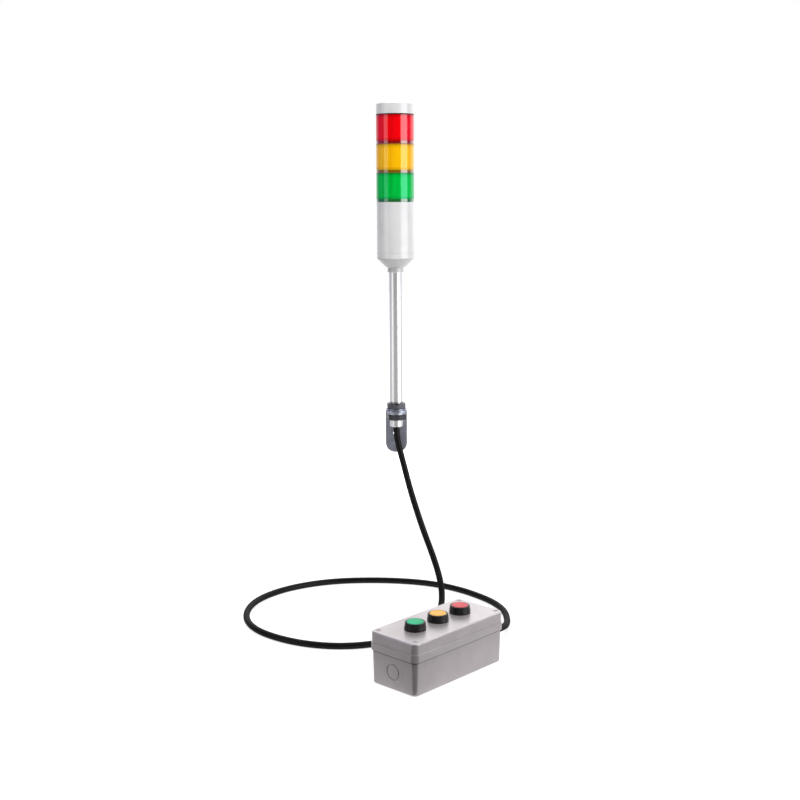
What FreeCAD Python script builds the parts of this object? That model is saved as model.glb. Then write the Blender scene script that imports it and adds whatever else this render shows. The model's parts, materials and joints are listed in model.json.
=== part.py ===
"""A three-colour stack light on a pole, with its angle bracket, its cord and its push-button box.

Millimetres, +Z up. The origin is the centre of the bracket's fixing hole, on the face that lies against the
wall. -Y is the front, where the pole and the lights stand, and the box rests on a floor below.
"""

import FreeCAD, Part

import math
import os

from FreeCAD import Vector

# ---- bracket -----------------------------------------------------------------------------------------------
BRACKET_WIDTH = 34.0
BRACKET_SHEET = 3.0
BRACKET_BEND_R = 3.0  # inside radius of the bend
BRACKET_CORNER_R = 15.0
SHELF_LENGTH = 40.0  # from the wall face to the front edge
HOLE_BELOW_SHELF = 41.5  # from the shelf's upper face to the fixing hole
LEG_BELOW_HOLE = 31.0
FIXING_HOLE_R = 5.0
PIP_BELOW_HOLE = 14.5
PIP_R = 4.0
PIP_HEIGHT = 1.4

# ---- pole and its nuts -------------------------------------------------------------------------------------
POLE_OUT = 22.0  # pole's axis in front of the wall face
POLE_R = 10.5
POLE_BORE_R = 8.0
POLE_LENGTH = 260.0
THREAD_R = 10.0
THREAD_FIT = 0.15  # radial room of nuts, washers and shelf round the thread
THREAD_BELOW_NUT = 11.0
THREAD_ABOVE_NUT = 1.5
NUT_FLATS = 28.0
NUT_HEIGHT = 9.0
UPPER_NUT_TURN = 6.7  # degrees, how far a corner stands from the front
LOWER_NUT_TURN = 14.0
FLAT_WASHER_R = 15.0
FLAT_WASHER_T = 2.0
LOCK_WASHER_R = 14.5
LOCK_WASHER_T = 4.0
LOCK_WASHER_GAP = 1.5

# ---- head --------------------------------------------------------------------------------------------------
HEAD_R = 29.0
SHELL_WALL = 2.5
NECK_R = 12.5
NECK_HEIGHT = 6.8
POLE_SOCKET = 17.8  # how far the pole reaches into the holder
CONE_HEIGHT = 13.4
HOLDER_RING_HEIGHT = 9.7
BODY_HEIGHT = 77.0
BODY_DECK = 3.0
TIER_HEIGHT = 43.2
TIERS = ("green", "amber", "red")  # from the bottom
LENS_WALL = 2.0
LENS_FLUTES = 36
FLUTE_DEPTH = 0.6
WEB_THICKNESS = 1.6
COLLAR_HEIGHT = 3.0
COLLAR_WALL = 1.8
COLLAR_FIT = 0.3
SEAL_THICKNESS = 1.2
SEAL_INSET = 0.25
CAP_HEIGHT = 17.4
CAP_EDGE_R = 1.6
PRESS_GAP = 0.05  # radial room of a snug inner fit

# ---- inside the head ---------------------------------------------------------------------------------------
BOARD_THICKNESS = 1.6
LED_SIZE = 5.0
LED_HEIGHT = 1.8
LED_CIRCLE_R = 9.0
LED_COUNT = 6
LED_START = 30.0  # degrees, so that no tie rod stands in front of a lamp
DIFFUSER_R = 16.0
DIFFUSER_WALL = 1.5
DIFFUSER_SIDES = 16
ROD_R = 1.75
ROD_CIRCLE_R = 20.0
ROD_BITE = 9.0  # thread length in the body's bosses
ROD_BOSS_R = 3.6
ROD_NUT_FLATS = 5.5
ROD_NUT_HEIGHT = 2.8
CLAMP_PLATE_T = 2.0
TERMINAL_BLOCK = (30.0, 12.0, 13.0)
TERMINALS = 5
WIRE_R = 1.1
WIRE_COUNT = 4
WIRE_CIRCLE_R = 2.6
GRUB_R = 2.0

# ---- cord --------------------------------------------------------------------------------------------------
CORD_D = 9.5
CORD_FIT = 0.1
GROMMET_LENGTH = 9.0
CORD_IN_POLE = 4.0  # how far above the pole's lower end the sheath stops
CORD_UNDER_POLE = 18.0  # where the cord's free run starts, below the pole
CORD_TO_BOX = 50.0  # where it ends, in front of the box's end wall
CORD_IN_GLAND = 18.0  # where the sheath stops, in front of the same wall

# ---- push-button box ---------------------------------------------------------------------------------------
FLOOR_BELOW_HOLE = 251.5
BOX_CENTRE = (54.8, -372.1)
BOX_YAW = 46.7  # degrees from +X to the box's long axis
BOX_LENGTH = 176.5
BOX_WIDTH = 80.5
BASE_HEIGHT = 45.6
BASE_INSET = 0.9  # how far the base's walls stand in from the lid's
BASE_EDGE_R = 2.5
BAND_HEIGHT = 10.4
BAND_OUT = 1.0  # how far the band stands out from the lid's walls
BAND_GROOVE = 1.0  # height of the groove under the band
BAND_GROOVE_DEPTH = 0.8
LID_HEIGHT = 14.6
BOX_WALL = 3.0
BOX_CORNER_R = 8.0
BOX_TAPER = 1.3  # how much each wall draws in towards the floor
LID_EDGE_R = 2.0
GASKET_T = 1.2
GASKET_WINDOW_R = 2.0
LID_SCREW_INSET = 8.0
LID_SCREW_R = 1.75
LID_SCREW_HEAD_R = 3.4
LID_SCREW_HEAD_T = 2.2
LID_SCREW_SUNK = 0.5  # how far the heads lie below the lid's face
SCREW_BOSS_R = 5.6
SCREW_SLOT = 0.9
KNOCKOUT_R = 10.9
KNOCKOUT_GROOVE = 1.3
KNOCKOUT_DEPTH = 1.2
ENTRY_HEIGHT = 24.2  # centres of the knockout and of the gland above the floor

# ---- cable gland -------------------------------------------------------------------------------------------
GLAND_THREAD_R = 11.0
GLAND_FLATS = 27.0
GLAND_FLANGE_T = 8.0
GLAND_CORE_R = 9.0
GLAND_CORE_LENGTH = 10.0
GLAND_NUT_FLATS = 25.0
GLAND_NUT_LENGTH = 18.0
GLAND_DOME_R = 9.5
GLAND_LIP = 2.5
LOCKNUT_FLATS = 28.0
LOCKNUT_T = 5.0
GLAND_SEAT = 0.4  # room that the wall's lean takes under the flange
LOCKNUT_SEAT = 0.5  # the same on the inside

# ---- push-buttons ------------------------------------------------------------------------------------------
BUTTON_PITCH = 44.4
BUTTONS = ("green", "amber", "red")
BUTTON_TRAVEL = 4.0
BEZEL_FOOT_R = 14.4
BEZEL_FOOT_T = 2.6
BEZEL_RIM_R = 13.6
BEZEL_HEIGHT = 10.3
BEZEL_EDGE = 0.7
BUTTON_SEAL_T = 0.8
CAP_R = 11.2
CAP_FIT = 0.25
CAP_PROUD = 0.5
BUTTON_EDGE_R = 0.9
BUTTON_CAP_T = 3.5
BARREL_R = 11.0
BARREL_BORE_R = 8.4
BARREL_LENGTH = 16.0  # below the top of the lid
BARREL_FLOOR_T = 2.0
BARREL_FIT = 0.25
RING_NUT_R = 14.0
RING_NUT_T = 5.0
RING_NUT_NOTCHES = 6
RING_NUT_NOTCH = 2.0
PLUNGER_R = 5.0
PLUNGER_TIP_L = 3.0  # below the barrel
PLUNGER_FIT = 0.1
CLIP_R = 6.4
CLIP_T = 1.0
CLIP_BITE = 0.8
CLIP_GAP = 0.2  # between the clip and the barrel, which stops the plunger
SPRING_WIRE_R = 0.5
SPRING_COIL_R = 6.7
SPRING_TURNS = 5
SPRING_STEPS = 12  # flat stretches in a turn
CONTACT_BLOCK = (28.0, 20.0, 26.0)
CONTACT_FIT = 0.4

# ---- heights that follow -----------------------------------------------------------------------------------
shelf_top = HOLE_BELOW_SHELF
shelf_bottom = shelf_top - BRACKET_SHEET
upper_nut_bottom = shelf_top + FLAT_WASHER_T
upper_nut_top = upper_nut_bottom + NUT_HEIGHT
lower_nut_top = shelf_bottom - LOCK_WASHER_T
lower_nut_bottom = lower_nut_top - NUT_HEIGHT
pole_bottom = lower_nut_bottom - THREAD_BELOW_NUT
pole_top = pole_bottom + POLE_LENGTH
neck_bottom = pole_top - POLE_SOCKET
cone_bottom = neck_bottom + NECK_HEIGHT
ring_bottom = cone_bottom + CONE_HEIGHT
body_bottom = ring_bottom + HOLDER_RING_HEIGHT
body_top = body_bottom + BODY_HEIGHT
tier_bottoms = [body_top + i * TIER_HEIGHT for i in range(len(TIERS))]
lights_top = body_top + len(TIERS) * TIER_HEIGHT
floor = -FLOOR_BELOW_HOLE
lens_inner_r = HEAD_R - LENS_WALL
collar_r = lens_inner_r - FLUTE_DEPTH - COLLAR_FIT
head_axis = Vector(0, -POLE_OUT, 0)
cord_r = CORD_D / 2
button_cap_bottom = BEZEL_HEIGHT + CAP_PROUD - BUTTON_CAP_T  # above the lid
spring_seat = BARREL_FLOOR_T - BARREL_LENGTH
gland_nut_bottom = GLAND_SEAT + GLAND_FLANGE_T
gland_core_end = gland_nut_bottom + GLAND_CORE_LENGTH
box_height = BASE_HEIGHT + BAND_HEIGHT + LID_HEIGHT
screw_head_bottom = box_height - LID_SCREW_SUNK - LID_SCREW_HEAD_T
wall_lean = BASE_INSET + BOX_TAPER * (1 - ENTRY_HEIGHT / BASE_HEIGHT)  # of the base's end walls, at the entry

UP = Vector(0, 0, 1)


# ---- shape helpers -----------------------------------------------------------------------------------------
def disc(radius, height, bottom, centre=(0, 0)):
    return Part.makeCylinder(radius, height, Vector(centre[0], centre[1], bottom))


def ring(outer, inner, height, bottom, centre=(0, 0)):
    return disc(outer, height, bottom, centre).cut(disc(inner, height, bottom, centre))


def turned(profile):
    """A solid of revolution about Z, from (radius, height) points; an arc is a (through, end) pair."""
    edges = []
    start = Vector(profile[0][0], 0, profile[0][1])
    first = start
    for item in profile[1:]:
        if isinstance(item[0], tuple):
            through = Vector(item[0][0], 0, item[0][1])
            end = Vector(item[1][0], 0, item[1][1])
            edges.append(Part.Arc(start, through, end).toShape())
        else:
            end = Vector(item[0], 0, item[1])
            edges.append(Part.LineSegment(start, end).toShape())
        start = end
    edges.append(Part.LineSegment(start, first).toShape())
    return Part.Face(Part.Wire(edges)).revolve(Vector(0, 0, 0), UP, 360)


def hexagon(flats, height, bottom, turn=0.0):
    """A hexagonal prism with one corner at the front, turned by some degrees."""
    corner_r = flats / math.sqrt(3)
    angles = [math.radians(60 * i - 90 + turn) for i in range(7)]
    points = [Vector(corner_r * math.cos(a), corner_r * math.sin(a), bottom) for a in angles]
    return Part.Face(Part.makePolygon(points)).extrude(UP * height)


def chamfered_hexagon(flats, height, bottom, turn, both=True):
    """A hexagon whose corners are turned away on the ends, as on a nut."""
    corner_r = flats / math.sqrt(3)
    face_r = 0.95 * flats / 2
    drop = (corner_r - face_r) * math.tan(math.radians(30))
    low = (face_r, bottom) if both else (corner_r, bottom)
    profile = [(0, bottom), low, (corner_r, bottom + (drop if both else 0.01)),
               (corner_r, bottom + height - drop), (face_r, bottom + height), (0, bottom + height)]
    return hexagon(flats, height, bottom, turn).common(turned(profile))


def rounded_block(length, width, height, bottom, corner_r, shrink=0.0):
    """A block with rounded upright corners, centred on Z, whose foot is smaller by shrink on each side."""
    def outline(inset, z):
        x, y = length / 2 - inset, width / 2 - inset
        r = corner_r - inset
        wires = []
        corners = [(x, y, 0), (-x, y, 90), (-x, -y, 180), (x, -y, 270)]
        points = []
        for cx, cy, start in corners:
            ox, oy = cx - math.copysign(r, cx), cy - math.copysign(r, cy)
            angles = [math.radians(start + a) for a in (0, 45, 90)]
            arc = [Vector(ox + r * math.cos(a), oy + r * math.sin(a), z) for a in angles]
            points.append(arc)
        for i, arc in enumerate(points):
            wires.append(Part.Arc(*arc).toShape())
            wires.append(Part.LineSegment(arc[2], points[(i + 1) % 4][0]).toShape())
        return Part.Wire(wires)
    if not shrink:
        return Part.Face(outline(0.0, bottom)).extrude(UP * height)
    return Part.makeLoft([outline(shrink, bottom), outline(0.0, bottom + height)], True, True)


def on_circle(radius, count, start=0.0):
    angles = [math.radians(start + 360 * i / count) for i in range(count)]
    return [(radius * math.cos(a), radius * math.sin(a)) for a in angles]


def round_edges(shape, radius, wanted):
    return shape.makeFillet(radius, [e for e in shape.Edges if wanted(e)])


def at_height(z):
    """Tests whether an edge lies level at z."""
    return lambda e: abs(e.BoundBox.ZMin - z) < 1e-4 and abs(e.BoundBox.ZMax - z) < 1e-4


# ---- bracket and pole --------------------------------------------------------------------------------------
def bracket():
    """One bent sheet: a leg against the wall and a shelf that carries the pole."""
    t, bend = BRACKET_SHEET, BRACKET_BEND_R
    bottom, front = -LEG_BELOW_HOLE, -SHELF_LENGTH
    outer = t + bend
    middle = math.sqrt(0.5)
    side = [Vector(0, 0, bottom), Vector(0, 0, shelf_top - outer)]
    path = [Part.LineSegment(*side).toShape(),
            Part.Arc(side[1], Vector(0, outer * (middle - 1), shelf_top + outer * (middle - 1)),
                     Vector(0, -outer, shelf_top)).toShape(),
            Part.LineSegment(Vector(0, -outer, shelf_top), Vector(0, front, shelf_top)).toShape(),
            Part.LineSegment(Vector(0, front, shelf_top), Vector(0, front, shelf_bottom)).toShape(),
            Part.LineSegment(Vector(0, front, shelf_bottom), Vector(0, -outer, shelf_bottom)).toShape(),
            Part.Arc(Vector(0, -outer, shelf_bottom),
                     Vector(0, -outer + bend * middle, shelf_top - outer + bend * middle),
                     Vector(0, -t, shelf_top - outer)).toShape(),
            Part.LineSegment(Vector(0, -t, shelf_top - outer), Vector(0, -t, bottom)).toShape(),
            Part.LineSegment(Vector(0, -t, bottom), side[0]).toShape()]
    sheet = Part.Face(Part.Wire(path)).extrude(Vector(BRACKET_WIDTH, 0, 0))
    sheet.translate(Vector(-BRACKET_WIDTH / 2, 0, 0))
    upright = [e for e in sheet.Edges if abs(e.BoundBox.ZLength - t) < 1e-4
               and abs(e.BoundBox.YMin - front) < 1e-4
               and e.BoundBox.XLength < 1e-4 and e.BoundBox.YLength < 1e-4]
    foot = [e for e in sheet.Edges if abs(e.BoundBox.YLength - t) < 1e-4
            and abs(e.BoundBox.ZMax - bottom) < 1e-4 and e.BoundBox.XLength < 1e-4]
    sheet = sheet.makeFillet(BRACKET_CORNER_R, upright + foot)
    through_wall = Part.makeCylinder(FIXING_HOLE_R, t, Vector(0, 0, 0), Vector(0, -1, 0))
    through_shelf = disc(THREAD_R + THREAD_FIT, t, shelf_bottom, (0, -POLE_OUT))
    sheet = sheet.cut(through_wall).cut(through_shelf)
    pip_at = Vector(0, -t, -PIP_BELOW_HOLE)
    pip = Part.makeCone(PIP_R, PIP_R - PIP_HEIGHT, PIP_HEIGHT, pip_at, Vector(0, -1, 0))
    dent = Part.makeCone(PIP_R - PIP_HEIGHT / 2, PIP_R - PIP_HEIGHT, PIP_HEIGHT,
                         Vector(0, 0, -PIP_BELOW_HOLE), Vector(0, -1, 0))
    return sheet.fuse(pip).cut(dent).removeSplitter()


def pole():
    """A drawn tube whose lower end is turned down and threaded for the nuts."""
    thread_top = upper_nut_top + THREAD_ABOVE_NUT
    step = POLE_R - THREAD_R
    lead_in = 1.0
    shape = turned([(POLE_BORE_R, pole_bottom), (THREAD_R - lead_in, pole_bottom),
                    (THREAD_R, pole_bottom + lead_in), (THREAD_R, thread_top), (POLE_R, thread_top + step),
                    (POLE_R, pole_top), (POLE_BORE_R, pole_top)])
    return shape


def pole_nut(bottom, turn):
    nut = chamfered_hexagon(NUT_FLATS, NUT_HEIGHT, bottom, turn)
    return nut.cut(disc(THREAD_R + THREAD_FIT, NUT_HEIGHT, bottom))


def flat_washer():
    return ring(FLAT_WASHER_R, THREAD_R + THREAD_FIT, FLAT_WASHER_T, shelf_top)


def lock_washer():
    """A split spring washer, flattened between the shelf and the lower nut."""
    whole = ring(LOCK_WASHER_R, THREAD_R + THREAD_FIT, LOCK_WASHER_T, lower_nut_top)
    split = Part.makeBox(LOCK_WASHER_GAP, LOCK_WASHER_R + 1, LOCK_WASHER_T, Vector(0, 0, lower_nut_top))
    return whole.cut(split)


# ---- head --------------------------------------------------------------------------------------------------
def lower_holder():
    """The foot of the head: a neck that grips the pole, a cone, and a ring that plugs into the body."""
    inner_r = HEAD_R - SHELL_WALL
    lip_r = inner_r - PRESS_GAP
    lip_top = body_bottom + COLLAR_HEIGHT
    stop = pole_top
    floor_top = stop + SHELL_WALL
    edge = 1.5
    tube_r = POLE_R + PRESS_GAP
    shape = turned([(tube_r, neck_bottom), (NECK_R, neck_bottom), (NECK_R, cone_bottom),
                    (NECK_R + 2 * edge, cone_bottom + edge),
                    (HEAD_R - edge, ring_bottom - edge / 2), (HEAD_R, ring_bottom + edge),
                    (HEAD_R, body_bottom), (lip_r, body_bottom), (lip_r, lip_top),
                    (lip_r - COLLAR_WALL, lip_top), (lip_r - COLLAR_WALL, floor_top),
                    (POLE_BORE_R, floor_top), (POLE_BORE_R, stop), (tube_r, stop)])
    grub_hole = Part.makeCylinder(GRUB_R + PRESS_GAP, NECK_R, Vector(0, 0, neck_bottom + NECK_HEIGHT / 2),
                                  Vector(0, 1, 0))
    return shape.cut(grub_hole)


def pole_grub_screw():
    """The small screw at the back of the neck that holds the pole."""
    start = POLE_R + PRESS_GAP
    return Part.makeCylinder(GRUB_R, NECK_R - start, Vector(0, start, neck_bottom + NECK_HEIGHT / 2),
                             Vector(0, 1, 0))


def rod_holes(radius, height, bottom):
    holes = [disc(radius, height, bottom, p) for p in on_circle(ROD_CIRCLE_R, 2)]
    return holes[0].fuse(holes[1])


def body_shell():
    """The long white housing: a tube closed by a deck, with a collar that centres the lowest lens."""
    inner_r = HEAD_R - SHELL_WALL
    deck_bottom = body_top - BODY_DECK
    shell = turned([(HEAD_R, body_bottom), (HEAD_R, body_top), (collar_r, body_top),
                    (collar_r, body_top + COLLAR_HEIGHT), (collar_r - COLLAR_WALL, body_top + COLLAR_HEIGHT),
                    (collar_r - COLLAR_WALL, body_top), (POLE_BORE_R, body_top), (POLE_BORE_R, deck_bottom),
                    (inner_r, deck_bottom), (inner_r, body_bottom)])
    for place in on_circle(ROD_CIRCLE_R, 2):
        boss_foot = body_top - ROD_BITE - SHELL_WALL
        shell = shell.fuse(disc(ROD_BOSS_R, ROD_BITE - BODY_DECK + SHELL_WALL, boss_foot, place))
    return shell.cut(rod_holes(ROD_R + PRESS_GAP, ROD_BITE, body_top - ROD_BITE)).removeSplitter()


def lens(bottom):
    """One coloured tier: a clear wall with upright prism flutes inside, and a web and collar for the next."""
    foot = bottom + SEAL_THICKNESS
    top = bottom + TIER_HEIGHT
    web_bottom = top - WEB_THICKNESS
    wall = disc(HEAD_R, top - foot, foot)
    crest_r, root_r = lens_inner_r - FLUTE_DEPTH, lens_inner_r
    points = []
    for i in range(2 * LENS_FLUTES + 1):
        angle = math.pi * i / LENS_FLUTES
        r = root_r if i % 2 else crest_r
        points.append(Vector(r * math.cos(angle), r * math.sin(angle), foot))
    bore = Part.Face(Part.makePolygon(points)).extrude(UP * (web_bottom - foot))
    wall = wall.cut(bore)
    centre_hole = disc(POLE_BORE_R, WEB_THICKNESS, web_bottom)
    collar = ring(collar_r, collar_r - COLLAR_WALL, COLLAR_HEIGHT, top)
    wall = wall.fuse(collar).cut(centre_hole)
    return wall.cut(rod_holes(ROD_R + CAP_FIT, WEB_THICKNESS, web_bottom)).removeSplitter()


def seals():
    """Four rubber rings: one under each tier and one under the cap."""
    levels = tier_bottoms + [lights_top]
    return [ring(HEAD_R - SEAL_INSET, collar_r + PRESS_GAP, SEAL_THICKNESS, z) for z in levels]


def led_board(bottom):
    """A round board on the collar below, with a ring of square LEDs."""
    seat = bottom + COLLAR_HEIGHT
    board = disc(collar_r, BOARD_THICKNESS, seat).cut(disc(POLE_BORE_R / 2, BOARD_THICKNESS, seat))
    board = board.cut(rod_holes(ROD_R + CAP_FIT, BOARD_THICKNESS, seat))
    for x, y in on_circle(LED_CIRCLE_R, LED_COUNT, LED_START):
        corner = Vector(x - LED_SIZE / 2, y - LED_SIZE / 2, seat + BOARD_THICKNESS)
        board = board.fuse(Part.makeBox(LED_SIZE, LED_SIZE, LED_HEIGHT, corner))
    return board


def diffuser(bottom):
    """A many-sided frosted sleeve that stands on the board, round its LEDs, and reaches up to the web."""
    seat = bottom + COLLAR_HEIGHT + BOARD_THICKNESS
    height = TIER_HEIGHT - WEB_THICKNESS - COLLAR_HEIGHT - BOARD_THICKNESS

    def prism(radius):
        points = [Vector(x, y, seat) for x, y in on_circle(radius, DIFFUSER_SIDES)]
        return Part.Face(Part.makePolygon(points + points[:1])).extrude(UP * height)
    return prism(DIFFUSER_R).cut(prism(DIFFUSER_R - DIFFUSER_WALL))


def tie_rods():
    length = lights_top + CLAMP_PLATE_T + ROD_NUT_HEIGHT + 1 - (body_top - ROD_BITE)
    return [disc(ROD_R, length, body_top - ROD_BITE, p) for p in on_circle(ROD_CIRCLE_R, 2)]


def clamp_plate():
    """The disc inside the top collar that the rods pull down."""
    plate = disc(collar_r - COLLAR_WALL - PRESS_GAP, CLAMP_PLATE_T, lights_top)
    plate = plate.cut(disc(POLE_BORE_R / 2, CLAMP_PLATE_T, lights_top))
    return plate.cut(rod_holes(ROD_R + PRESS_GAP, CLAMP_PLATE_T, lights_top))


def rod_nuts():
    bottom = lights_top + CLAMP_PLATE_T
    nuts = []
    for x, y in on_circle(ROD_CIRCLE_R, 2):
        nut = hexagon(ROD_NUT_FLATS, ROD_NUT_HEIGHT, bottom)
        nut = nut.cut(disc(ROD_R + PRESS_GAP, ROD_NUT_HEIGHT, bottom))
        nut.translate(Vector(x, y, 0))
        nuts.append(nut)
    return nuts


def top_cap():
    """The white lid of the head, hollow, over the top collar."""
    bottom, top = lights_top + SEAL_THICKNESS, lights_top + CAP_HEIGHT
    inner_r = collar_r + COLLAR_FIT
    roof = top - SHELL_WALL
    e = CAP_EDGE_R
    turn = e * (1 - math.sqrt(0.5))
    return turned([(0, roof), (inner_r, roof), (inner_r, bottom), (HEAD_R, bottom), (HEAD_R, top - e),
                   ((HEAD_R - turn, top - turn), (HEAD_R - e, top)), (0, top)])


def control_board():
    """The round board over the holder's lip, where the cord's wires end."""
    seat = body_bottom + COLLAR_HEIGHT
    board = disc(HEAD_R - SHELL_WALL - CAP_FIT, BOARD_THICKNESS, seat)
    return board.cut(disc(WIRE_CIRCLE_R + 2 * WIRE_R, BOARD_THICKNESS, seat))


def terminal_block():
    """A screw terminal strip on the control board, beside the hole for the wires."""
    length, width, height = TERMINAL_BLOCK
    seat = body_bottom + COLLAR_HEIGHT + BOARD_THICKNESS
    start = WIRE_CIRCLE_R + 2 * WIRE_R
    block = Part.makeBox(length, width, height, Vector(-length / 2, start, seat))
    pitch = length / TERMINALS
    for i in range(TERMINALS):
        x = -length / 2 + pitch * (i + 0.5)
        mouth_at = Vector(x - pitch / 4, start, seat + height / 6)
        mouth = Part.makeBox(pitch / 2, width / 2, height / 3, mouth_at)
        block = block.cut(mouth)
        block = block.cut(disc(pitch / 4, height / 4, seat + 3 * height / 4, (x, start + width / 2)))
    return block


def core_wires():
    """The cord's cores, bare of their sheath inside the pole, from the sheath's end to the control board."""
    bottom = pole_bottom + CORD_IN_POLE
    top = body_bottom + COLLAR_HEIGHT + BOARD_THICKNESS
    return [disc(WIRE_R, top - bottom, bottom, p) for p in on_circle(WIRE_CIRCLE_R, WIRE_COUNT, 45)]


def cord_grommet():
    """The rubber bush that closes the pole's lower end round the cord."""
    return ring(POLE_BORE_R - PRESS_GAP, cord_r + CORD_FIT, GROMMET_LENGTH, pole_bottom)


# ---- box ---------------------------------------------------------------------------------------------------
def screw_places():
    x, y = BOX_LENGTH / 2 - LID_SCREW_INSET, BOX_WIDTH / 2 - LID_SCREW_INSET
    return [(x, y), (-x, y), (-x, -y), (x, -y)]


def box_block(inset, height, bottom, shrink=0.0):
    """A block of the lid's outline, drawn in by inset."""
    length, width = BOX_LENGTH - 2 * inset, BOX_WIDTH - 2 * inset
    return rounded_block(length, width, height, bottom, BOX_CORNER_R - inset, shrink)


def box_base():
    """The lower half: tapered walls, a band round the top, screw bosses, a knockout and the gland's hole."""
    rim = BASE_HEIGHT + BAND_HEIGHT
    walls = box_block(BASE_INSET, BASE_HEIGHT, 0, BOX_TAPER)
    walls = round_edges(walls, BASE_EDGE_R, at_height(0))
    groove_foot = BASE_HEIGHT - BAND_GROOVE
    neck = box_block(BASE_INSET + BAND_GROOVE_DEPTH, BAND_GROOVE, groove_foot)
    walls = walls.cut(box_block(0, BAND_GROOVE, groove_foot).cut(neck))
    band = box_block(-BAND_OUT, BAND_HEIGHT, BASE_HEIGHT)
    room = box_block(BASE_INSET + BOX_WALL, rim - BOX_WALL, BOX_WALL, BOX_TAPER)
    base = walls.fuse(band).cut(room)
    for place in screw_places():
        base = base.fuse(disc(SCREW_BOSS_R, rim - BOX_WALL - GASKET_T, BOX_WALL, place))
        base = base.cut(disc(LID_SCREW_R - PRESS_GAP, BAND_HEIGHT, rim - BAND_HEIGHT, place))
    gland_hole = Part.makeCylinder(GLAND_THREAD_R + PRESS_GAP, 3 * BOX_WALL,
                                   Vector(BOX_LENGTH / 2 - 2 * BOX_WALL, 0, ENTRY_HEIGHT), Vector(1, 0, 0))
    groove_floor = Vector(wall_lean + KNOCKOUT_DEPTH - BOX_LENGTH / 2, 0, ENTRY_HEIGHT)
    groove = Part.makeCylinder(KNOCKOUT_R, BOX_WALL, groove_floor, Vector(-1, 0, 0))
    core = Part.makeCylinder(KNOCKOUT_R - KNOCKOUT_GROOVE, BOX_WALL, groove_floor, Vector(-1, 0, 0))
    groove = groove.cut(core)
    return base.cut(gland_hole).cut(groove).removeSplitter()


def box_lid():
    """The upper half: a shallow tray turned over, with three button holes and four sunk screw places."""
    bottom = BASE_HEIGHT + BAND_HEIGHT
    top = box_height
    lid = round_edges(box_block(0, LID_HEIGHT, bottom), LID_EDGE_R, at_height(top))
    lid = lid.cut(box_block(BOX_WALL, LID_HEIGHT - BOX_WALL, bottom))
    for place in screw_places():
        lid = lid.fuse(disc(SCREW_BOSS_R, LID_HEIGHT - BOX_WALL, bottom, place))
        lid = lid.cut(disc(LID_SCREW_R + CAP_FIT, LID_HEIGHT, bottom, place))
        lid = lid.cut(disc(LID_SCREW_HEAD_R + CAP_FIT, top - screw_head_bottom, screw_head_bottom, place))
    for x in button_places():
        lid = lid.cut(disc(BARREL_R + BARREL_FIT, BOX_WALL, top - BOX_WALL, (x, 0)))
    return lid.removeSplitter()


def lid_gasket():
    """A flat rubber frame inside the band, between the bosses' tops and the lid."""
    bottom = BASE_HEIGHT + BAND_HEIGHT - GASKET_T
    outer = BASE_INSET + BOX_WALL + CAP_FIT
    inner = outer + 2 * SCREW_BOSS_R
    window = rounded_block(BOX_LENGTH - 2 * inner, BOX_WIDTH - 2 * inner, GASKET_T, bottom, GASKET_WINDOW_R)
    frame = box_block(outer, GASKET_T, bottom).cut(window)
    for place in screw_places():
        frame = frame.cut(disc(LID_SCREW_R + CAP_FIT, GASKET_T, bottom, place))
    return frame


def lid_screws():
    """Four slotted screws sunk in the lid's corners."""
    reach = screw_head_bottom - BASE_HEIGHT - 0.2 * BAND_HEIGHT
    screws = []
    for x, y in screw_places():
        screw = disc(LID_SCREW_HEAD_R, LID_SCREW_HEAD_T, screw_head_bottom, (x, y))
        screw = screw.fuse(disc(LID_SCREW_R - 2 * PRESS_GAP, reach, screw_head_bottom - reach, (x, y)))
        slot_floor = screw_head_bottom + LID_SCREW_HEAD_T / 2
        slot = Part.makeBox(2 * LID_SCREW_HEAD_R, SCREW_SLOT, LID_SCREW_HEAD_T / 2,
                            Vector(x - LID_SCREW_HEAD_R, y - SCREW_SLOT / 2, slot_floor))
        screws.append(screw.cut(slot).removeSplitter())
    return screws


# ---- cable gland, made along Z and laid along the box's long axis ------------------------------------------
def gland_frame(shape):
    """Turns a shape made along Z to point out of the box's far end, at the entry's height."""
    return shape.rotate(Vector(0, 0, 0), Vector(0, 1, 0), 90).translate(
        Vector(BOX_LENGTH / 2 - wall_lean, 0, ENTRY_HEIGHT))


def gland_body():
    """The threaded sleeve with its hexagon flange, and the core that the cap nut turns on."""
    inside = BOX_WALL + LOCKNUT_SEAT + LOCKNUT_T + 2
    body = chamfered_hexagon(GLAND_FLATS, GLAND_FLANGE_T, GLAND_SEAT, 0)
    body = body.fuse(disc(GLAND_THREAD_R, inside + GLAND_SEAT, -inside))
    body = body.fuse(disc(GLAND_CORE_R, gland_core_end - gland_nut_bottom, gland_nut_bottom))
    return body.cut(disc(cord_r + CORD_FIT, inside + gland_core_end, -inside)).removeSplitter()


def gland_cap_nut():
    """The cap nut: a hexagon that ends in a dome round the cord."""
    corner_r = GLAND_NUT_FLATS / math.sqrt(3)
    top = gland_nut_bottom + GLAND_NUT_LENGTH
    shoulder = top - 0.12 * GLAND_NUT_LENGTH
    shape = turned([(0, gland_nut_bottom), (corner_r, gland_nut_bottom), (corner_r, gland_core_end),
                    ((0.86 * corner_r, shoulder), (0.8 * GLAND_DOME_R, top)), (0, top)])
    shape = shape.common(hexagon(GLAND_NUT_FLATS, GLAND_NUT_LENGTH, gland_nut_bottom, 30))
    room = gland_core_end + GLAND_LIP - gland_nut_bottom
    shape = shape.cut(disc(GLAND_CORE_R + PRESS_GAP, room, gland_nut_bottom))
    return shape.cut(disc(cord_r + CORD_FIT, GLAND_NUT_LENGTH, gland_nut_bottom))


def gland_seal():
    """The rubber sleeve squeezed between the core's end and the nut."""
    return ring(GLAND_CORE_R, cord_r + CORD_FIT, GLAND_LIP, gland_core_end)


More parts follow.
